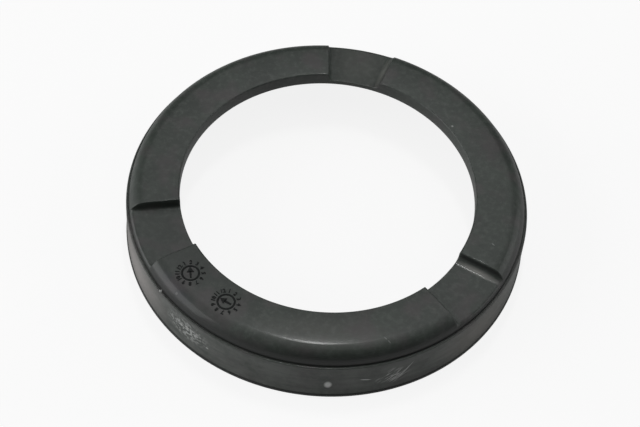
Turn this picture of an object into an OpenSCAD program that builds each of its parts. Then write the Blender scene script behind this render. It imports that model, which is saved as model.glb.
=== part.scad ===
// Coil spring insulator: a rubber cap ring that sits between a coil spring and its steel seat.
// The origin is the middle of the bottom face, with +Z up along the ring's axis. Millimetres.

/* [Ring] */
// Diameter over the bottom lip
outer_d = 150; // [142:1:170]
// Width of the ring, from the lip in to the open centre
ring_w = 20.3; // [17:0.1:27]
// Height from the bottom lip to the top of the pads
ring_h = 23.8; // [20:0.2:32]
// Thickness of the plate between the coil and the steel seat
plate_t = 2; // [1.5:0.1:4]

/* [Pads] */
// Number of raised pads round the top
pad_count = 3; // [2:1:4]
// Height of the pads above the plate
pad_h = 3.6; // [2.5:0.1:5]
// Angle between the top edges of two neighbouring pads
gap_angle = 21.2; // [14:0.2:30]
// Direction of the middle of the first gap, counted from +X
first_gap = 83; // [0:0.2:119]
// Radius of the outer edge of the floor between two pads
floor_edge_r = 1.4; // [0.5:0.1:1.4]
// Radius of the top edge along the inside of a pad
inner_edge_r = 0.6; // [0.2:0.1:1.5]
// Radius at the foot of an upright pad end
foot_r = 1.3; // [0.5:0.1:4]
// Radius of the hollow at the ends of the last pad
scoop_r = 3.2; // [1.5:0.1:8]

/* [Rim] */
// Width of the rim outside the pads
rim_w = 1.1; // [1.05:0.05:2]
// Depth of the rim below the floor between two pads
rim_drop = 2.4; // [1.5:0.1:4]
// Radius of the groove between the pads and the rim
groove_r = 0.3; // [0.15:0.05:0.3]
// Radius of the rim's outer edge
rim_edge_r = 0.4; // [0.2:0.05:0.45]

/* [Skirt] */
// Thickness of the skirt at its foot, inside the lip
skirt_t = 3.2; // [2:0.1:5]
// How far the outside leans out from the rim to the foot
skirt_flare = 0.3; // [0.1:0.1:2]
// Lean of the inside in degrees, so that the hollow opens downwards
skirt_draft = 1.5; // [0:0.25:4]
// Radius between skirt and plate, where the coil beds in
seat_r = 4.5; // [1:0.25:7]
// How far the bottom lip stands out
lip_out = 0.3; // [0.2:0.05:0.8]
// Height of the bottom lip
lip_h = 1.2; // [0.8:0.1:3]
// Radius of the lower edge of the open centre
bore_edge_r = 0.5; // [0.2:0.1:0.7]

/* [Hidden] */
$fn = 96;

// Rubber colour
rubber = [0.235, 0.24, 0.235];
// Room that a cut is given past the surface it opens
clear = 1;
// Step between the rounded edge of a floor and the shoulder's surface, so that no knife edge is left
floor_step = 0.15;

// Main radii
outer_r = outer_d / 2;
bore_r = outer_r - ring_w;
lip_in_r = outer_r - lip_out;
rim_r = lip_in_r - skirt_flare;
plate_r = rim_r - rim_w;
skirt_in_r = lip_in_r - skirt_t;

// Main heights
floor_z = ring_h - pad_h;
under_z = floor_z - plate_t;
rim_z = floor_z - rim_drop;

// The round shoulder along the outside of a pad ends level with the rim
shoulder_r = pad_h + rim_drop;
shoulder_in_r = plate_r - shoulder_r;

// Radius of the shoulder's surface at the height where the floor's rounded edge ends
edge_wall_r = shoulder_in_r + half_width(shoulder_r, rim_drop - floor_edge_r);

// Lean of the outside, and the centre of the arc that joins it to the rim
flare = atan(skirt_flare / rim_z);
rim_arc = [rim_r - rim_edge_r * (1 - sin(flare)) / cos(flare), rim_z - rim_edge_r];

// Centre of the arc that joins the inside of the skirt to the plate
seat_arc_z = under_z - seat_r;
seat_arc = [inside_r(seat_arc_z) - seat_r / cos(skirt_draft), seat_arc_z];

// Angle from one gap to the next
pad_pitch = 360 / pad_count;

// Inside radius of the skirt at height z
function inside_r(z) = skirt_in_r - z * tan(skirt_draft);

// Point of an arc of radius r about centre c, at an angle above the level
function arc_point(c, r, angle) = c + r * [cos(angle), sin(angle)];

// Half the width of a circle of radius r, at height h above its centre
function half_width(r, h) = sqrt(r * r - h * h);

// Length that a pad end of radius r takes up on the plate
function end_run(r) = r > pad_h ? half_width(r, r - pad_h) : r;

// What is cut away to round a corner: the arc's centre is the origin, the corner lies at [r, r]
module round_off(r) {
  difference() {
    square(r + clear);
    circle(r);
  }
}

// Hollow that takes the coil, seen in section
module hollow_section() {
  polygon([
    [bore_r - clear, -clear],
    [inside_r(-clear), -clear],
    arc_point(seat_arc, seat_r, skirt_draft),
    seat_arc,
    [seat_arc[0], under_z],
    [bore_r - clear, under_z]
  ]);
  translate(seat_arc) circle(seat_r);
}

// Lip round the foot of the skirt, with its upper edge rounded
module lip_section() {
  translate([skirt_in_r, 0]) square([lip_in_r - skirt_in_r, lip_h]);
  translate([skirt_in_r, 0]) square([outer_r - skirt_in_r, lip_h - lip_out]);
  translate([lip_in_r, lip_h - lip_out]) circle(lip_out);
}

// Rim and outside of the skirt, solid inwards
module skirt_section() {
  polygon([
    [seat_arc[0], 0],
    [lip_in_r, 0],
    arc_point(rim_arc, rim_edge_r, flare),
    [rim_arc[0], rim_z],
    [seat_arc[0], rim_z]
  ]);
  translate(rim_arc) circle(rim_edge_r);
  lip_section();
}

// Section through a pad: flat on top, a small radius inside and the round shoulder outside
module ring_section() {
  difference() {
    union() {
      translate([bore_r, 0]) square([plate_r - bore_r, ring_h]);
      skirt_section();
    }
    hollow_section();
    translate([shoulder_in_r, rim_z]) difference() {
      square([shoulder_r + groove_r, shoulder_r + clear]);
      circle(shoulder_r);
    }
    translate([plate_r + groove_r, rim_z]) circle(groove_r);
    translate([bore_r + inner_edge_r, ring_h - inner_edge_r]) mirror([1, 0]) round_off(inner_edge_r);
    translate([bore_r + bore_edge_r, under_z + bore_edge_r]) rotate(180) round_off(bore_edge_r);
  }
}

// What is cut away past the end of a pad: x runs along the plate from the top edge, y runs up.
// A radius below the pad's height leaves an upright end, a larger one a hollow ramp.
module end_section(r) {
  run = end_run(r);
  translate([run, r]) circle(r);
  translate([run, 0]) square([outer_r, pad_h + clear]);
  if (r < pad_h) translate([0, r]) square([run + clear, pad_h + clear - r]);
}

// Where a cut has to start so that it passes the open centre at every angle inside a gap
function cut_start() = bore_r * cos(gap_angle) - clear;

// The end's cut carried straight out across the ring, on the far side of the +X direction
module end_cut(r) {
  translate([cut_start(), 0, floor_z]) rotate([90, 0, 90])
    linear_extrude(outer_r + clear - cut_start()) end_section(r);
}

// Gap between two pads: it lies past the end of one and before the start of the next
module gap(middle, end_r, start_r) {
  intersection() {
    rotate(middle - gap_angle / 2) end_cut(end_r);
    rotate(middle + gap_angle / 2) mirror([0, 1, 0]) end_cut(start_r);
  }
}

// Everything past the foot of a pad end, from the rim upwards
module past_foot(r) {
  translate([cut_start(), end_run(r), rim_z])
    cube([outer_r + clear - cut_start(), outer_r, rim_drop + 2 * clear]);
}

// What is cut away to round the outer edge of the floor in a gap
module floor_edge(middle, end_r, start_r) {
  centre_r = edge_wall_r - floor_step - floor_edge_r;
  intersection() {
    rotate_extrude() translate([centre_r, floor_z - floor_edge_r]) difference() {
      square([plate_r + clear - centre_r, floor_edge_r + clear]);
      circle(floor_edge_r);
    }
    rotate(middle - gap_angle / 2) past_foot(end_r);
    rotate(middle + gap_angle / 2) mirror([0, 1, 0]) past_foot(start_r);
  }
}

// The whole moulding: the last pad has hollow ends, the others upright ones
module insulator_ring() {
  last = pad_count - 1;
  color(rubber) difference() {
    rotate_extrude() ring_section();
    for (i = [0 : last]) {
      end_r = i == 0 ? scoop_r : foot_r;
      start_r = i == last ? scoop_r : foot_r;
      gap(first_gap + i * pad_pitch, end_r, start_r);
      floor_edge(first_gap + i * pad_pitch, end_r, start_r);
    }
  }
}

insulator_ring();
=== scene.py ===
# %% [markdown]
# A coil spring insulator is a rubber ring that caps the end of a car's coil spring and keeps it
# off its steel seat. This one is a single moulding: a thin plate, three raised pads, a grooved
# rim and a skirt. The CAD model gives its size and place. This script makes the same ring again
# with a finer mesh, soft edges and a rubber finish.

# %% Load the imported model
import math

import bmesh
import bpy
from mathutils import Matrix, Vector


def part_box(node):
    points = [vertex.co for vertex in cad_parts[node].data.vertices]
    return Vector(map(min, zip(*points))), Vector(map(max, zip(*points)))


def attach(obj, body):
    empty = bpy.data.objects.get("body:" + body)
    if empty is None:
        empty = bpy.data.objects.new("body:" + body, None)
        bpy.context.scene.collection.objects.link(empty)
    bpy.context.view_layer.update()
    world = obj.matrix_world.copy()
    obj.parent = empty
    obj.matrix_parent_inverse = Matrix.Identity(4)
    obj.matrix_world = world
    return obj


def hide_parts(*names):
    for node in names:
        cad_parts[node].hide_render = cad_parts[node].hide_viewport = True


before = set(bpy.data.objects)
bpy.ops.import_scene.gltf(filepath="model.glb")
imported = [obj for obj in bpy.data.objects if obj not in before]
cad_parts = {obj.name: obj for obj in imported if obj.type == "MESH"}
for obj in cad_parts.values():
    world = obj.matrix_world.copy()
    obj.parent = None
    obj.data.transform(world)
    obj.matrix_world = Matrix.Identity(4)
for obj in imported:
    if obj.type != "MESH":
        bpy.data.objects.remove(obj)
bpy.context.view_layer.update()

MM = 0.001
ring_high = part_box("insulator_ring")[1]
outer_r = ring_high.x / MM
ring_h = ring_high.z / MM
print(f"ring: {2 * outer_r:.1f} mm over the lip, {ring_h:.1f} mm high")

# %% [markdown]
# A moulded ring has the same section nearly all the way round, so a few sizes describe it. They
# could be measured on the CAD mesh. Here they are written as in its source, in millimetres, and
# counted from the outer radius and the height of the frame. So the ring lands on the CAD model by
# itself.

# %% Radii, from the lip to the open centre
ring_w = 20.3
lip_out = 0.3
skirt_t = 3.2
skirt_flare = 0.3
rim_w = 1.1

bore_r = outer_r - ring_w
lip_in_r = outer_r - lip_out
skirt_in_r = lip_in_r - skirt_t
rim_r = lip_in_r - skirt_flare
plate_r = rim_r - rim_w
print(f"open centre {2 * bore_r:.1f} mm, pads out to {plate_r:.1f} mm, rim to {rim_r:.1f} mm")

# %% Heights, from the pads to the lip
pad_h = 3.6
plate_t = 2.0
rim_drop = 2.4
lip_h = 1.2

floor_z = ring_h - pad_h
under_z = floor_z - plate_t
rim_z = floor_z - rim_drop
print(f"plate from {under_z:.1f} to {floor_z:.1f} mm up, rim at {rim_z:.1f} mm")

# %% [markdown]
# Most of Blender's operators act on whatever is selected, and the frame leaves its nodes
# selected. So each piece starts from an empty selection, and its corners are picked in code by
# where they lie. Picking them by their number would be shorter, but the numbers change with every
# edit.

# %% Helpers for working on one piece
# Corners closer than this, in metres, count as one
same_place = 1e-6


def deselect_all():
    """Leave object mode with nothing selected."""
    if bpy.context.object and bpy.context.object.mode != "OBJECT":
        bpy.ops.object.mode_set(mode="OBJECT")
    bpy.ops.object.select_all(action="DESELECT")


def edit(piece):
    """Open one piece in edit mode with nothing in it selected."""
    deselect_all()
    piece.select_set(True)
    bpy.context.view_layer.objects.active = piece
    bpy.ops.object.mode_set(mode="EDIT")
    bpy.ops.mesh.select_mode(type="VERT")
    bpy.ops.mesh.select_all(action="DESELECT")


def pick(piece, wanted, parts="verts"):
    """Select the corners or faces of the piece in edit mode that wanted() says yes to."""
    mesh = bmesh.from_edit_mesh(piece.data)
    bpy.ops.mesh.select_all(action="DESELECT")
    for part in getattr(mesh, parts):
        if wanted(part):
            part.select_set(True)
    mesh.select_flush_mode()
    bmesh.update_edit_mesh(piece.data)


def near(x, z):
    """A test for a corner of the outline at x, z in millimetres."""
    return lambda corner: max(abs(corner.co.x - x * MM), abs(corner.co.z - z * MM)) < same_place


# %% [markdown]
# The section has twelve corners, and the mould rounds each of them with its own radius. The
# largest round is the shoulder along the outside of the pads, and the next one is the bed for the
# coil under the plate. One bevel over all corners would give them all the same radius. So each
# corner is listed with its place, its radius and the number of flats that stand for the round.

# %% Corners of the section
shoulder_r = pad_h + rim_drop
seat_r = 4.5
bore_edge_r = 0.5
inner_edge_r = 0.6
rim_edge_r = 0.4
rim_inner_edge_r = 0.05
lip_upper_edge_r = 0.9 * lip_out
lip_inner_r = 0.15
lip_foot_r = 0.1
skirt_foot_r = 0.2

# The groove's two rounds stay a little under its radius, so that they don't run into each other
groove_r = 0.3
groove_round_r = 0.98 * groove_r
groove_z = rim_z - groove_r
groove_out_r = plate_r + 2 * groove_r

skirt_draft = math.radians(1.5)
skirt_slope = skirt_flare / rim_z
lip_top_r = rim_r + skirt_slope * (rim_z - lip_h)
seat_corner_r = skirt_in_r - under_z * math.tan(skirt_draft)

# Distance from the axis, height, radius of the round, flats in it
corners = [
    (bore_r, under_z, bore_edge_r, 3),
    (bore_r, ring_h, inner_edge_r, 4),
    (plate_r, ring_h, shoulder_r, 24),
    (plate_r, groove_z, groove_round_r, 3),
    (groove_out_r, groove_z, groove_round_r, 3),
    (groove_out_r, rim_z, rim_inner_edge_r, 1),
    (rim_r, rim_z, rim_edge_r, 5),
    (lip_top_r, lip_h, lip_inner_r, 2),
    (outer_r, lip_h, lip_upper_edge_r, 3),
    (outer_r, 0, lip_foot_r, 1),
    (skirt_in_r, 0, skirt_foot_r, 2),
    (seat_corner_r, under_z, seat_r, 10),
]
print(f"section: {len(corners)} corners")

# %% [markdown]
# The section is drawn as a line and then turned round the axis, as on a lathe. A ready-made torus
# would have the wrong section. The line starts as one corner of a small plane, which is pulled
# out from point to point, and each corner is then rounded by a bevel.

# %% Draw the outline
deselect_all()
bpy.ops.mesh.primitive_plane_add(size=MM, location=(bore_r * MM, 0, under_z * MM))
ring = bpy.context.object
ring.name = "ring"
bpy.ops.object.transform_apply(location=True, rotation=True, scale=True)
edit(ring)
bpy.ops.mesh.select_all(action="SELECT")
bpy.ops.mesh.merge(type="CENTER")
for (x0, z0, *_), (x1, z1, *_) in zip(corners, corners[1:] + corners[:1]):
    step = ((x1 - x0) * MM, 0, (z1 - z0) * MM)
    bpy.ops.mesh.extrude_region_move(TRANSFORM_OT_translate={"value": step})
bpy.ops.mesh.select_all(action="SELECT")
bpy.ops.mesh.remove_doubles(threshold=same_place)
print(f"outline: {len(bmesh.from_edit_mesh(ring.data).verts)} corners")

# %% Round its corners
round_profile = 0.5
for x, z, corner_r, flats in corners:
    pick(ring, near(x, z))
    bpy.ops.mesh.bevel(
        offset_type="OFFSET",
        offset=corner_r * MM,
        segments=flats,
        profile=round_profile,
        affect="VERTICES",
    )
print(f"rounded outline: {len(bmesh.from_edit_mesh(ring.data).verts)} points")

# %% Spin the outline into a ring
spin_steps = 360
bpy.ops.mesh.select_all(action="SELECT")
bpy.ops.mesh.spin(steps=spin_steps, angle=math.tau, center=(0, 0, 0), axis=(0, 0, 1))
bpy.ops.mesh.select_all(action="SELECT")
bpy.ops.mesh.remove_doubles(threshold=same_place)
bpy.ops.mesh.normals_make_consistent(inside=False)
print(f"ring: {len(bmesh.from_edit_mesh(ring.data).faces)} faces")

# %% [markdown]
# The pads are what is left of the top when the gaps between them are pressed down to the plate.
# The gaps could be cut out with a boolean, but that leaves hard edges and long thin faces. So the
# top is cut into narrow strips that follow the shape of each pad end, and then every corner in a
# gap is lowered. A pad end is an upright wall with a small radius at its foot, or a hollow ramp.
# A moulded edge is never quite sharp, and an upright end leans a little so that the mould lets go
# of it.

# %% Height of a pad end
foot_r = 1.3
scoop_r = 3.2
soft_edge_r = 0.3
end_lean = 0.12


def end_run(end_r):
    """Length that a pad end takes up on the plate."""
    if end_r <= pad_h:
        return end_r + end_lean
    return math.sqrt(end_r**2 - (end_r - pad_h) ** 2)


def end_height(x, end_r):
    """Height above the plate at x millimetres past a pad's top edge."""
    run = end_run(end_r)
    wall_top = pad_h - soft_edge_r
    if x >= run:
        return 0.0
    if x <= 0:
        into_edge = max(x + soft_edge_r, 0)
        return wall_top + math.sqrt(max(soft_edge_r**2 - into_edge**2, 0))
    if end_r <= pad_h and x < end_lean:
        return wall_top + (end_r - wall_top) * x / end_lean
    hollow = end_r - math.sqrt(max(end_r**2 - (run - x) ** 2, 0))
    return min(hollow, wall_top)


for name, end_r in (("upright end", foot_r), ("ramp", scoop_r)):
    print(f"{name}: {end_run(end_r):.2f} mm long")

# %% [markdown]
# The floor of a gap is flat, with a soft edge along the open centre. Outside, it bends down in a
# round edge and then follows the pads' shoulder, so that no step shows. The round edge touches
# the shoulder from inside, which gives its centre and the point where one takes over from the
# other.

# %% Height of a gap's floor
floor_edge_r = 1.4
shoulder_centre_r = plate_r - shoulder_r
floor_edge_z = floor_z - floor_edge_r
floor_edge_run = math.sqrt((shoulder_r - floor_edge_r) ** 2 - (floor_edge_z - rim_z) ** 2)
floor_edge_centre_r = shoulder_centre_r + floor_edge_run
takeover = floor_edge_r * floor_edge_run / (shoulder_r - floor_edge_r)


def shoulder_height(r):
    """Height of a pad's round shoulder at a radius."""
    past = max(r - shoulder_centre_r, 0)
    return rim_z + math.sqrt(max(shoulder_r**2 - past**2, 0))


def floor_height(r):
    """Height of a gap's floor at a radius."""
    past = r - floor_edge_centre_r
    if past > takeover:
        return shoulder_height(r)
    if past > 0:
        return floor_edge_z + math.sqrt(max(floor_edge_r**2 - past**2, 0))
    into_edge = max(bore_r + soft_edge_r - r, 0) / soft_edge_r
    return floor_z - soft_edge_r * (1 - math.sqrt(max(1 - into_edge**2, 0)))


print(f"floor: flat out to {floor_edge_centre_r:.1f} mm, shoulder from {shoulder_centre_r:.1f} mm")

# %% [markdown]
# The three gaps are evenly spaced. The end of the pad before a gap and the end of the pad after
# it face each other across it. One pad has hollow ramps at both its ends, and all the other ends
# are upright. Six ends could be written out, but a loop over the gaps keeps them alike.

# %% Gaps and their pad ends
pad_count = 3
gap_angle = 21.2
first_gap = 83.0

gaps = []
for i in range(pad_count):
    middle = first_gap + i * 360 / pad_count
    before = scoop_r if i == 0 else foot_r
    after = scoop_r if i == pad_count - 1 else foot_r
    ends = [(middle - gap_angle / 2, 1, before), (middle + gap_angle / 2, -1, after)]
    gaps.append((middle, ends))
print("gaps at", [middle for middle, _ in gaps], "degrees")

# %% [markdown]
# A corner can only be lowered where there is one, and the spin left none at the pad ends. So the
# top gets extra cuts along each end: close together where the end is curved, and none on the
# level parts. Subdividing the whole top would do it too, but with far more faces.

# %% Where a pad end is cut into strips
# Cuts before the top edge, as shares of its soft radius, and the number of cuts in the round foot
soft_edge_cuts = (1.0, 0.7, 0.4, 0.15, 0.0)
foot_cuts = 10


def end_strips(end_r):
    """Distances from the pad's top edge at which the top is cut."""
    run = end_run(end_r)
    strips = [-soft_edge_r * share for share in soft_edge_cuts]
    widest = math.asin(min(run / end_r, 1))
    if end_r <= pad_h:
        strips.append(end_lean)
    strips += [run - end_r * math.sin(widest * k / foot_cuts) for k in range(foot_cuts)]
    return sorted(set(round(x, 4) for x in strips))


print(f"strips: {len(end_strips(foot_r))} at an upright end, {len(end_strips(scoop_r))} at a ramp")

# %% Helpers for angles round the ring


def direction(angle):
    """Unit vector at an angle in degrees, counted from +X."""
    return Vector((math.cos(math.radians(angle)), math.sin(math.radians(angle)), 0))


def out_of_pad(angle, side):
    """Direction straight out of a pad's end, into the gap."""
    return direction(angle + 90) * side


def angle_of(point):
    """Angle of a point round the ring, in degrees."""
    return math.degrees(math.atan2(point.y, point.x))


def angle_between(angle, other):
    """How far one angle lies from another, in degrees."""
    return abs((angle - other + 180) % 360 - 180)


# %% Cut the strips
just_above_rim = (rim_z + 1e-4) * MM
# Degrees to both sides of a pad end in which faces are cut
cut_reach = 14


def top_near(angle):
    """A test for a face above the rim that lies near an angle."""

    def wanted(face):
        centre = face.calc_center_median()
        return centre.z > just_above_rim and angle_between(angle_of(centre), angle) < cut_reach

    return wanted


bpy.ops.mesh.select_all(action="SELECT")
bpy.ops.mesh.bisect(plane_co=(0, 0, floor_z * MM), plane_no=(0, 0, 1))
for _, ends in gaps:
    for angle, side, end_r in ends:
        outward = out_of_pad(angle, side)
        for x in end_strips(end_r):
            pick(ring, top_near(angle), "faces")
            bpy.ops.mesh.bisect(plane_co=outward * x * MM, plane_no=outward)
print(f"ring with strips: {len(bmesh.from_edit_mesh(ring.data).faces)} faces")

# %% [markdown]
# Each corner in a gap now goes down to the floor, or stops where the shape of the nearest pad end
# holds it. On a pad nothing moves. Where the shoulder is lower than the pad's top, a corner keeps
# its share of the height, so the pad ends run out through the shoulder as they were moulded.

# %% Press the gaps down
# How far a corner may lie past the plate, in mm, and past a gap, in degrees
hair = 1e-3
past_gap = 1


def pad_share(spot, ends):
    """How much of the pad's height is left at a spot: 1 on a pad, 0 on the floor of a gap."""
    heights = []
    for angle, side, end_r in ends:
        heights.append(end_height(out_of_pad(angle, side).dot(spot) / MM, end_r))
    return max(heights) / pad_h


bpy.ops.object.mode_set(mode="OBJECT")
lowered = 0
for corner in ring.data.vertices:
    r = math.hypot(corner.co.x, corner.co.y) / MM
    z = corner.co.z / MM
    floor_here = floor_height(r)
    if r > plate_r + hair or corner.co.z <= max(floor_here * MM, just_above_rim):
        continue
    for middle, ends in gaps:
        if angle_between(angle_of(corner.co), middle) <= gap_angle / 2 + past_gap:
            corner.co.z = (floor_here + pad_share(corner.co, ends) * (z - floor_here)) * MM
            lowered += 1
print(f"corners pressed down: {lowered}")

# %% [markdown]
# Light should run smoothly over the rounds and break only where the mould has an edge. Shading
# the whole ring smooth would blur the pad ends, so faces are smoothed only where they meet at a
# small angle. The ring then takes the place of the CAD node, and rides where the node rode.

# %% Smooth the ring and put it in the node's place
smooth_below = math.radians(28)
edit(ring)
bpy.ops.mesh.select_all(action="SELECT")
bpy.ops.mesh.remove_doubles(threshold=2 * same_place)
bpy.ops.object.mode_set(mode="OBJECT")
bpy.ops.object.shade_smooth_by_angle(angle=smooth_below)
print(f"ring: {len(ring.data.polygons)} faces")

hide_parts("insulator_ring")
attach(ring, "root")

# %% [markdown]
# One pad carries two date dials. They come from small round inserts in the mould: a ring with the
# numbers of the twelve months round it and an arrow in the middle that points to one of them.
# They could be painted on, but the marks are raised by a fifth of a millimetre and catch the
# light, so they are modelled: the numbers as text that becomes a mesh, the ring and the arrow
# from primitives.

# %% Joining pieces into one


def joined(pieces, name):
    """Join pieces into the first one, with its origin at the world's."""
    deselect_all()
    for piece in pieces:
        piece.select_set(True)
    bpy.context.view_layer.objects.active = pieces[0]
    bpy.ops.object.join()
    whole = bpy.context.object
    whole.name = name
    bpy.ops.object.transform_apply(location=True, rotation=True, scale=True)
    return whole


# %% Numbers of a dial
mark_height = 0.2
number_r = 4.5
number_size = 2.1
# The strokes are a little fatter than the font's, because fine ones don't fill in a mould
stroke_swell = 0.05
months = 12
month_step = 360 / months


def dial_numbers(centre, turn):
    """The months round a dial, each upright along its spoke."""
    numbers = []
    for month in range(months):
        spoke = turn + 90 - month * month_step
        spot = centre + direction(spoke) * number_r * MM
        bpy.ops.object.text_add(location=spot, rotation=(0, 0, math.radians(spoke - 90)))
        number = bpy.context.object
        number.data.body = str(month + 1)
        number.data.size = number_size * MM
        number.data.offset = stroke_swell * MM
        number.data.align_x = "CENTER"
        number.data.align_y = "CENTER"
        number.data.extrude = mark_height * MM
        number.data.resolution_u = 2
        bpy.ops.object.convert(target="MESH")
        numbers.append(bpy.context.object)
    return numbers


# %% Arrow of a dial
# Its shaft lies a little behind the middle of the dial and its head ahead of it
shaft_l = 2.8
shaft_w = 0.7
shaft_back = 0.7
head_r = 1.5
head_ahead = 1.1


def dial_arrow(centre, angle):
    """The arrow in a dial's middle, pointing at an angle: a bar and a three-sided head."""
    along = direction(angle)
    bpy.ops.mesh.primitive_cube_add(
        size=MM,
        location=centre - along * shaft_back * MM,
        rotation=(0, 0, math.radians(angle)),
    )
    shaft = bpy.context.object
    shaft.scale = (shaft_l, shaft_w, 2 * mark_height)
    bpy.ops.mesh.primitive_cylinder_add(
        vertices=3,
        radius=head_r * MM,
        depth=2 * mark_height * MM,
        location=centre + along * head_ahead * MM,
        rotation=(0, 0, math.radians(angle - 90)),
    )
    return [shaft, bpy.context.object]


# %% The two dials
band_r = 3.0
band_wire_r = 0.4


def date_dial(name, spot, turn, arrow_angle):
    """A dial round a spot on a pad's top, in millimetres, turned by an angle in degrees."""
    centre = Vector((spot[0], spot[1], ring_h)) * MM
    deselect_all()
    bpy.ops.mesh.primitive_torus_add(
        location=centre,
        major_radius=band_r * MM,
        minor_radius=band_wire_r * MM,
        major_segments=48,
        minor_segments=8,
    )
    band = bpy.context.object
    band.scale.z = mark_height / band_wire_r
    dial = joined([band] + dial_numbers(centre, turn) + dial_arrow(centre, arrow_angle), name)
    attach(dial, "root")
    print(f"{name}: {len(dial.data.polygons)} faces")
    return dial


# Each dial's place on the pad, its turn and the angle of its arrow
dials = [
    date_dial("date_dial_left", (-45.9, -43.4), 35, 100),
    date_dial("date_dial_right", (-32.2, -54.1), -10, 150),
]

# %% [markdown]
# A material is a small net of nodes. Masks say where something lies on the rubber, from 0 to 1,
# and films of another colour are laid over the base where a mask says so. All patterns are placed
# by the piece's own coordinates, in metres, so they stay where they are from every side.

# %% Helpers for materials


def linear(hex_colour):
    """An sRGB hex colour as the linear RGBA that a shader takes."""
    channels = [int(hex_colour[i : i + 2], 16) / 255 for i in (1, 3, 5)]
    plain = [c / 12.92 if c <= 0.04045 else ((c + 0.055) / 1.055) ** 2.4 for c in channels]
    return (*plain, 1.0)


def node(tree, kind, inputs=None, **settings):
    """Add a node with its settings. An input takes a socket, a node's first output or a value."""
    made = tree.nodes.new("ShaderNode" + kind)
    for name, value in settings.items():
        setattr(made, name, value)
    for name, value in (inputs or {}).items():
        if isinstance(value, bpy.types.Node):
            value = value.outputs[0]
        if isinstance(value, bpy.types.NodeSocket):
            tree.links.new(value, made.inputs[name])
        else:
            made.inputs[name].default_value = value
    return made


def per_size(millimetres):
    """Texture scale at which one feature of a pattern is that wide."""
    return 1 / (millimetres * MM)


# %% Helpers for films and patches


def meeting(tree, *masks):
    """Where several masks meet: all of them multiplied."""
    met = masks[0]
    for mask in masks[1:]:
        met = node(tree, "Math", {0: met, 1: mask}, operation="MULTIPLY")
    return met


def where(tree, *limits):
    """Where values are past their limits. Each limit is a value, its start and its full effect."""
    masks = []
    for value, start, full in limits:
        masks.append(node(tree, "MapRange", {"Value": value, "From Min": start, "From Max": full}))
    return meeting(tree, *masks)


def film(tree, under, mask, strength, shade):
    """Lay a film of a shade over the colour under it, where a mask says so."""
    cover = meeting(tree, mask, strength)
    layers = {"Factor": cover, "A": under, "B": linear(shade)}
    return node(tree, "Mix", layers, data_type="RGBA").outputs["Result"]


def patch(tree, place, centre, half_sizes, turn=0.0, tilt=0.0, edge=0.5):
    """Mask of an oval, which fades in from its outline to a share of its size.

    Its centre and half sizes are in mm. It is turned about Z and then tilted up, in degrees.
    """
    oval = {
        "Vector": place,
        "Location": [c * MM for c in centre],
        "Rotation": (0, -math.radians(tilt), math.radians(turn)),
        "Scale": [h * MM for h in half_sizes],
    }
    from_centre = node(tree, "Mapping", oval, vector_type="TEXTURE")
    reach = node(tree, "VectorMath", {0: from_centre}, operation="LENGTH").outputs["Value"]
    return where(tree, (reach, 1.0, edge))


# %% [markdown]
# The ring is moulded from EPDM, a weatherproof rubber filled with carbon black. To the eye it is
# a very dark, slightly green grey, matt to silky, with light spread wide on it. A thin film of
# wax comes out of the rubber and gives a second, soft shine, which is the coat. One flat grey
# would look like plastic, so wide clouds and finer blotches vary it. The real grain is about a
# tenth of a millimetre and too fine to show, so the blotches are drawn at about two millimetres.

# %% Moulded EPDM rubber: the base colour
rubber = bpy.data.materials.new("moulded EPDM rubber")
rubber.use_nodes = True
tree = rubber.node_tree
shader = tree.nodes["Principled BSDF"]
shader.inputs["IOR"].default_value = 1.5
shader.inputs["Coat Weight"].default_value = 0.2
shader.inputs["Coat Roughness"].default_value = 0.13

cloud_size = 14
place = node(tree, "TexCoord").outputs["Object"]
cloud = {"Vector": place, "Scale": per_size(cloud_size), "Detail": 5.0, "Roughness": 0.65}
tint = node(tree, "ValToRGB", {"Fac": node(tree, "TexNoise", cloud)})
darker, lighter = tint.color_ramp.elements
darker.position, darker.color = 0.35, linear("#2a312c")
lighter.position, lighter.color = 0.7, linear("#373f39")
colour = tint.outputs["Color"]
print("clouds:", len(tree.nodes), "nodes")

# %% Lighter and darker blotches
blotch_size = 2.2
blotch_strength = 0.35
blotch = {"Vector": place, "Scale": per_size(blotch_size), "Detail": 5.0, "Roughness": 0.65}
blotches = node(tree, "TexNoise", blotch)
pale_blotches = where(tree, (blotches, 0.5, 0.75))
dark_blotches = where(tree, (blotches, 0.5, 0.3))
colour = film(tree, colour, pale_blotches, blotch_strength, "#5c605c")
colour = film(tree, colour, dark_blotches, blotch_strength, "#1d211e")
print("blotches:", len(tree.nodes), "nodes")

# %% [markdown]
# The light doesn't fall evenly over the ring, and part of that is painted into the colour. The
# back floor and the front pad carry painted light and are a little warmer and paler, the left side
# carries painted shade, and its shoulder a painted bluish reflection. Each is a wide soft oval. A
# last, warm cloudy film over all of it keeps the ovals from showing as ovals.

# %% Painted light, shade and reflection in ovals, and warm clouds
painted_patch_edge = 0.3
# Painted light in the first two, painted shade in the third, a painted bluish reflection in the
# last. Centre and half sizes in mm, turn in degrees, strength and shade
for centre, half_sizes, turn, strength, shade in (
    ((8, 65, 20), (13, 13, 5), 0, 0.25, "#5b5a56"),
    ((3, -63, 23.8), (28, 9, 4), 0, 0.25, "#5b5a56"),
    ((-52, -38, 23), (34, 40, 8), 0, 0.55, "#1f2421"),
    ((-51.0, -49.4, 22), (3.8, 12, 5), 44, 0.7, "#191c26"),
):
    painted_light_patch = patch(tree, place, centre, half_sizes, turn, edge=painted_patch_edge)
    colour = film(tree, colour, painted_light_patch, strength, shade)

warm_size = 11
warm = node(tree, "TexNoise", {"Vector": place, "Scale": per_size(warm_size), "Detail": 2.0})
warm_clouds = where(tree, (warm, 0.5, 0.66))
colour = film(tree, colour, warm_clouds, strength=0.5, shade="#423c3e")
print("wax:", len(tree.nodes), "nodes")
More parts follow.
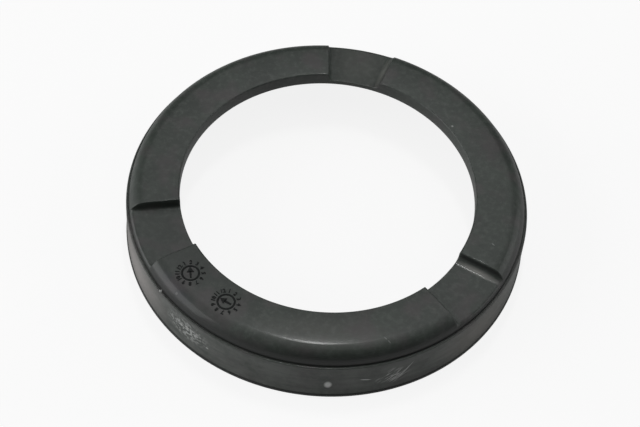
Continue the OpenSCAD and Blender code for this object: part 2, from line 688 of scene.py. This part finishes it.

# %% [markdown]
# The steep faces of the pads, which are their ends and the outer half of the shoulder, get little
# light and look nearly black, most of all at the front right. That shade is painted into the
# colour.
# It could be a material of its own, but the change is gradual. So a mask finds them: where the
# surface is steep, above the rim, away from the open centre, and towards the front right.

# %% Painted shade on the steep faces
normal = node(tree, "SeparateXYZ", {"Vector": node(tree, "NewGeometry").outputs["Normal"]})
height = node(tree, "SeparateXYZ", {"Vector": place}).outputs["Z"]
level = node(tree, "VectorMath", {0: place, 1: (1, 1, 0)}, operation="MULTIPLY")
radius = node(tree, "VectorMath", {0: level}, operation="LENGTH").outputs["Value"]
to_front_right = node(tree, "VectorMath", {0: place, 1: (1, -1, 0)}, operation="DOT_PRODUCT")

painted_shade = where(
    tree,
    (normal.outputs["Z"], 0.85, 0.4),
    (height, (rim_z - 0.3) * MM, rim_z * MM),
    (radius, (bore_r + 0.4) * MM, (bore_r + 1.2) * MM),
    (to_front_right.outputs["Value"], -65 * MM, 0),
)
# Painted shade: the steep faces are darkened nearly to black
colour = film(tree, colour, painted_shade, strength=0.9, shade="#171a18")
print("steep faces:", len(tree.nodes), "nodes")

# %% [markdown]
# Bloom is a dull grey film of wax that comes out of the rubber and isn't rubbed off. It lies on
# the skirt, in faint level lines from handling. At the left and right front the skirt is paler,
# partly from thicker bloom and partly as painted light from the side lamps.
# The lines are a noise that is drawn out ten times along the level, and a second noise breaks
# them up.

# %% Where the skirt is
skirt = where(
    tree,
    (height, (rim_z + 0.1) * MM, (rim_z - 0.5) * MM),
    (height, lip_h * MM, (lip_h + 0.4) * MM),
    (radius, (plate_r - 0.2) * MM, (plate_r + 0.4) * MM),
)
print("skirt:", len(tree.nodes), "nodes")

# %% Bloom and painted side light on the skirt
line_size = 1.6
mottle_size = 9
drawn_out = node(tree, "Mapping", {"Vector": place, "Scale": (0.1, 0.1, 1)})
line = {"Vector": drawn_out, "Scale": per_size(line_size), "Detail": 3.0}
mottle = {"Vector": place, "Scale": per_size(mottle_size), "Detail": 5.0, "Roughness": 0.7}
lines = node(tree, "TexNoise", line)
mottles = node(tree, "TexNoise", mottle)
bloom = where(tree, (lines, -0.5, 0.8), (mottles, 0.15, 0.6))
colour = film(tree, colour, skirt, strength=bloom, shade="#646764")

# Paler at the left and right front, partly thicker bloom, partly painted light. Centre and half
# sizes in mm, strength and shade
for centre, half_sizes, strength, shade in (
    ((-66, -32, 9), (26, 26, 14), 0.9, "#918d8b"),
    ((58, -46, 9), (24, 24, 14), 0.4, "#85807a"),
):
    side_bloom_and_light = meeting(tree, skirt, patch(tree, place, centre, half_sizes, edge=0.2))
    colour = film(tree, colour, side_bloom_and_light, strength, shade)
print("bloom:", len(tree.nodes), "nodes")

# %% [markdown]
# Three narrow places differ from what lies round them. The wall of the open centre is a little
# paler, as painted light. The feet of the two hollow ramps carry a painted highlight. The lip at
# the very bottom is darker, partly as painted shade where it meets the floor and partly rubbed by
# whatever the ring stands on. Each follows from a radius, a height or a long thin oval.

# %% Painted light on the centre wall, painted highlight in the ramps, painted shade on the lip
# Painted light: the wall of the open centre is made a little paler
centre_wall = where(tree, (radius, (bore_r + 0.3) * MM, (bore_r + 0.1) * MM))
colour = film(tree, colour, centre_wall, strength=0.25, shade="#5e605e")

# Painted highlight in the feet of the hollow ramps. Centre and half sizes in mm, turn in degrees
# and strength
for centre, half_sizes, turn, strength in (
    ((55.8, -30.3, 21), (11, 1.5, 2), -26.4, 0.65),
    ((17.6, 61.0, 21.5), (11, 1.6, 3), 72.4, 0.3),
):
    painted_ramp_highlight = patch(tree, place, centre, half_sizes, turn, edge=0.3)
    colour = film(tree, colour, painted_ramp_highlight, strength, shade="#8d8c88")

# Partly painted shade where the lip meets the floor, partly rubbed rubber: the lip is darkened
lip = where(tree, (height, (lip_h + 0.5) * MM, (lip_h - 0.1) * MM))
colour = film(tree, colour, lip, strength=0.85, shade="#151817")
print("wall, ramps and lip:", len(tree.nodes), "nodes")

# %% [markdown]
# Where the skirt was scraped, the rubber shows nearly white. At the left it is a broken patch of
# crumbs, so a fine noise breaks up an oval. At the right it is a patch of slanting scratches, so
# the noise is drawn out along a slanting line.

# %% Scuffs at the left and right
crumb_size = 1.3
scratch_size = 1.2
crumb = node(tree, "TexNoise", {"Vector": place, "Scale": per_size(crumb_size), "Detail": 3.0})
crumbs = where(tree, (crumb, 0.45, 0.62))
left_oval = patch(tree, place, (-45.5, -58.5, 11), (11, 5.5, 6.5), -38, edge=0.3)
left_scuff = meeting(tree, left_oval, crumbs, 0.7)

slant = (0, -math.radians(40), math.radians(24))
stroke = {"Vector": place, "Rotation": slant, "Scale": (4, 1, 0.6)}
slanted = node(tree, "Mapping", stroke, vector_type="TEXTURE")
scratch = {"Vector": slanted, "Scale": per_size(scratch_size), "Detail": 2.0}
scratches = node(tree, "TexNoise", scratch)
scraped = where(tree, (scratches, 0.52, 0.66))
right_oval = patch(tree, place, (28, -69, 9), (7, 4, 5.5), 24, edge=0.3)
right_scuff = meeting(tree, right_oval, scraped)
pale = node(tree, "Math", {0: left_scuff, 1: right_scuff}, operation="MAXIMUM")
print("scuffs:", len(tree.nodes), "nodes")

# %% [markdown]
# The single marks are few enough to be placed one by one, each as a small oval: three long
# scratches and a pale spot on the front of the skirt, and specks on the skirt, the shoulder and
# the pads.

# %% Scratches and specks
# Strength, centre and half sizes in mm, turn about Z and tilt in degrees
marks = [
    (0.8, (28.8, -68.8, 9.1), (2.9, 1, 0.32), 23, 9),
    (0.8, (32.3, -67.3, 10.2), (6.2, 1, 0.3), 25, 56),
    (0.8, (18.6, -72.3, 9.7), (2.4, 1, 0.36), 14, -14),
    (1.0, (5.6, -74.4, 7.7), (1.6, 1, 2.3), 4, 0),
    (1.0, (-56.1, -47.9, 17.8), (0.6, 0.6, 0.8), 0, 0),
    (0.12, (-49.9, -51.3, 22.0), (0.6, 0.6, 0.8), 0, 0),
    (0.4, (45.1, 34.0, 23.8), (0.5, 0.5, 0.5), 0, 0),
    (0.15, (24.0, -63.4, 23.8), (0.9, 0.25, 0.8), -40, 0),
    (0.15, (25.4, -64.5, 23.6), (0.9, 0.25, 0.8), -40, 0),
    (0.2, (61.0, -19.7, 23.8), (0.9, 0.3, 0.5), -40, 0),
    (0.8, (-38.0, -64.6, 8.5), (0.8, 0.8, 0.5), 0, 0),
]
for strength, centre, half_sizes, turn, tilt in marks:
    mark = meeting(tree, patch(tree, place, centre, half_sizes, turn, tilt), strength)
    pale = node(tree, "Math", {0: pale, 1: mark}, operation="MAXIMUM")
colour = film(tree, colour, pale, strength=0.9, shade="#d4d6d4")
tree.links.new(colour, shader.inputs["Base Color"])
print("marks:", len(marks))

# %% [markdown]
# The rubber is silky on top and duller where bloom and scuffs cover it, so their masks also set
# the roughness. A faint bump stands for the grain of the mould. The real grain is finer than the
# render can show, so it is drawn at nearly a millimetre.

# %% Surface of the rubber
grain_size = 0.9
grain_depth = 0.05
dull = node(tree, "Math", {0: skirt, 1: pale}, operation="MAXIMUM")
roughness = node(tree, "MapRange", {"Value": dull, "To Min": 0.53, "To Max": 0.65})
tree.links.new(roughness.outputs["Result"], shader.inputs["Roughness"])
grain = node(tree, "TexNoise", {"Vector": place, "Scale": per_size(grain_size), "Detail": 3.0})
bump = node(tree, "Bump", {"Height": grain, "Strength": 0.4, "Distance": grain_depth * MM})
tree.links.new(bump.outputs["Normal"], shader.inputs["Normal"])
ring.data.materials.append(rubber)
print("moulded EPDM rubber:", len(tree.nodes), "nodes")

# %% [markdown]
# The dials are the same rubber in one dark colour, which is painted shade: it stands for the shade
# along the sides of the thin raised strokes. So they are darker and quieter than the pad, with
# hardly any shine. The marks are too thin for a pattern to show, so one dark colour is enough.

# %% Rubber of the dials, with painted shade
shaded_dial_rubber = bpy.data.materials.new("rubbed rubber")
shaded_dial_rubber.use_nodes = True
shader = shaded_dial_rubber.node_tree.nodes["Principled BSDF"]
# Painted shade: the dark colour stands for the shade along the strokes' sides
shader.inputs["Base Color"].default_value = linear("#141716")
shader.inputs["Roughness"].default_value = 0.65
shader.inputs["Specular IOR Level"].default_value = 0.25
for dial in dials:
    dial.data.materials.clear()
    dial.data.materials.append(shaded_dial_rubber)
print("dials in", shaded_dial_rubber.name)

# %% [markdown]
# The photograph is a product shot on a white ground. The floor could be left out, but then the
# ring would hang in the air. So it stays a real surface that catches the ring's shadow, a matt
# paper of light grey, and to the camera it also glows, which makes it white. Glossy rays see a
# little of that glow, so the rubber mirrors a pale ground and not a bright lamp.

# %% Floor
floor_size = 4
deselect_all()
bpy.ops.mesh.primitive_plane_add(size=floor_size, location=(0, 0, 0))
floor = bpy.context.object
floor.name = "floor"
print(f"floor: {floor_size} m wide")

# %% White paper of the floor
paper_glow = 1.15
camera_share = 0.75
mirror_share = 0.2
paper = bpy.data.materials.new("white paper")
paper.use_nodes = True
tree = paper.node_tree
shader = tree.nodes["Principled BSDF"]
shader.inputs["Base Color"].default_value = linear("#c8c8c8")
shader.inputs["Roughness"].default_value = 0.9
glow = node(tree, "Emission", {"Color": linear("#ffffff"), "Strength": paper_glow})
rays = node(tree, "LightPath").outputs
mirror_rays = {0: rays["Is Glossy Ray"], 1: rays["Is Transmission Ray"]}
mirrored = node(tree, "Math", mirror_rays, operation="MAXIMUM")
glow_shares = {
    0: meeting(tree, rays["Is Camera Ray"], camera_share),
    1: meeting(tree, mirrored, mirror_share),
}
glowing = node(tree, "Math", glow_shares, operation="MAXIMUM")
blend = node(tree, "MixShader", {"Fac": glowing, 1: shader, 2: glow})
tree.links.new(blend.outputs[0], tree.nodes["Material Output"].inputs["Surface"])
floor.data.materials.append(paper)
print("white paper:", len(tree.nodes), "nodes")

# %% [markdown]
# Four lamps and a faint world light the ring. A broad one overhead gives the even grey of the
# pads, and broad ones at the left and right lift the skirt. The small one stands high behind the
# ring and draws the thin highlight along the front shoulder, which a broad lamp would smear out.

# %% Lights and surroundings


def soft_light(name, spot, aim, size, power):
    """A flat lamp at a spot, turned to a point. Metres and watts."""
    lamp = bpy.data.lights.new(name, "AREA")
    lamp.shape = "RECTANGLE"
    lamp.size, lamp.size_y = size
    lamp.energy = power
    made = bpy.data.objects.new(name, lamp)
    made.location = spot
    made.rotation_euler = (Vector(aim) - Vector(spot)).to_track_quat("-Z", "Y").to_euler()
    bpy.context.scene.collection.objects.link(made)
    print(f"{name}: {power} W, {size[0]} x {size[1]} m")


ring_foot = (0, 0, 0)
behind_ring = (0.1, 0.45, 0)
soft_light("overhead_light", (0.1, 0.45, 1.5), behind_ring, size=(2.4, 2.1), power=8.0)
soft_light("edge_light", (0.0, 0.42, 1.15), ring_foot, size=(0.07, 0.26), power=2.7)
soft_light("left_light", (-1.6, -0.2, 0.6), ring_foot, size=(1.8, 1.2), power=20)
soft_light("right_light", (1.6, 0.3, 0.6), ring_foot, size=(1.6, 1.1), power=7.5)

sky_strength = 0.02
world = bpy.data.worlds.new("studio")
bpy.context.scene.world = world
world.use_nodes = True
sky = world.node_tree.nodes["Background"]
sky.inputs["Color"].default_value = linear("#ffffff")
sky.inputs["Strength"].default_value = sky_strength

# %% [markdown]
# The camera stands where the photographer's stood: in front of the ring, looking down on it
# steeply, and rolled a little. A camera could be aimed by eye, but then the ovals of the ring
# wouldn't match. So its distance, height, roll and the point that it looks at were fitted to the
# ring's outlines.

# %% Camera
camera_distance = 608.4
camera_height_angle = math.radians(53.57)
camera_roll = math.radians(-4.94)
view_centre = Vector((-2.26, 3.23, 2.39))

camera = bpy.data.cameras.new("camera")
camera.sensor_width = 36
camera.lens = 90
camera.clip_start = 0.01
camera_object = bpy.data.objects.new("camera", camera)
bpy.context.scene.collection.objects.link(camera_object)

backward = Vector((0, -math.cos(camera_height_angle), math.sin(camera_height_angle)))
sideways = Vector((1, 0, 0))
upward = backward.cross(sideways)
right = math.cos(camera_roll) * sideways - math.sin(camera_roll) * upward
top = math.sin(camera_roll) * sideways + math.cos(camera_roll) * upward
turned = Matrix((right, top, backward)).transposed().to_4x4()
camera_place = (view_centre + camera_distance * backward) * MM
camera_object.matrix_world = Matrix.Translation(camera_place) @ turned
bpy.context.scene.camera = camera_object
bpy.context.scene.view_settings.view_transform = "Standard"
print("camera at", [round(c, 3) for c in camera_place])
